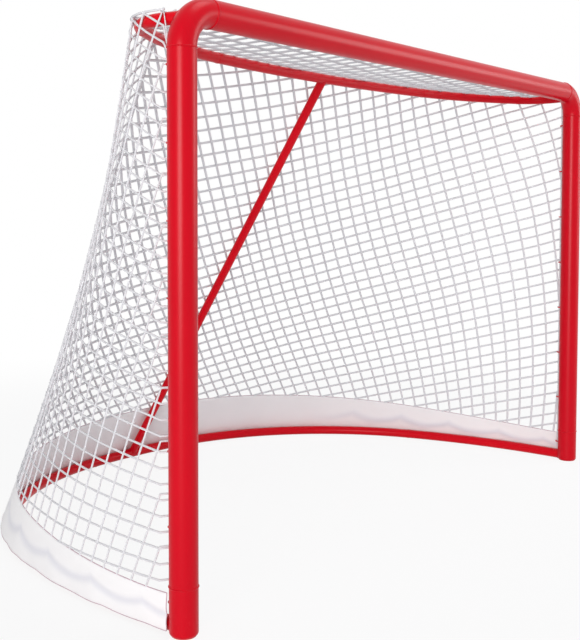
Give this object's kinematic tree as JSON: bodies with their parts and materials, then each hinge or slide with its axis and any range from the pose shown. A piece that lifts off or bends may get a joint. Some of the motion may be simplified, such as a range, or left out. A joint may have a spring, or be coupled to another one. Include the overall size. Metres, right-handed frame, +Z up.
{
  "type": "ice hockey goal",
  "caption": "Ice hockey goal: tube front frame, bent top and base bars, centre strut, wrapped mesh net and fabric skirt.",
  "frame": {"origin": "centre of the goal's box on the ice, midway between the posts and midway between the front of the posts and the back of the skirt", "axes": "+X to the right along the mouth, seen from in front; +Y from the mouth to the back of the net; +Z up"},
  "size_m": [1.9572, 1.2378, 1.2803],
  "materials": {
    "frame_red": "gloss red paint on steel tube",
    "bar_red": "gloss red paint on steel tube",
    "rope": "white laid rope",
    "twine": "white knotless twine",
    "skirt_cloth": "matt white woven cloth"
  },
  "bodies": {
    "root": {"left_post": "frame_red", "right_post": "frame_red", "left_foot": "frame_red", "right_foot": "frame_red", "left_corner_bend": "frame_red", "right_corner_bend": "frame_red", "crossbar": "frame_red", "left_post_eyelets": "frame_red", "right_post_eyelets": "frame_red", "crossbar_eyelets": "frame_red", "top_bar": "bar_red", "base_frame": "bar_red", "centre_strut": "bar_red", "left_border_rope": "rope", "right_border_rope": "rope", "crossbar_border_rope": "rope", "net_top": "twine", "net_left_side": "twine", "net_left_corner": "twine", "net_rear_left": "twine", "net_rear_right": "twine", "net_right_corner": "twine", "net_right_side": "twine", "skirt_left_side": "skirt_cloth", "skirt_left_corner": "skirt_cloth", "skirt_rear_left": "skirt_cloth", "skirt_rear_right": "skirt_cloth", "skirt_right_corner": "skirt_cloth", "skirt_right_side": "skirt_cloth"}
  },
  "joints": []
}
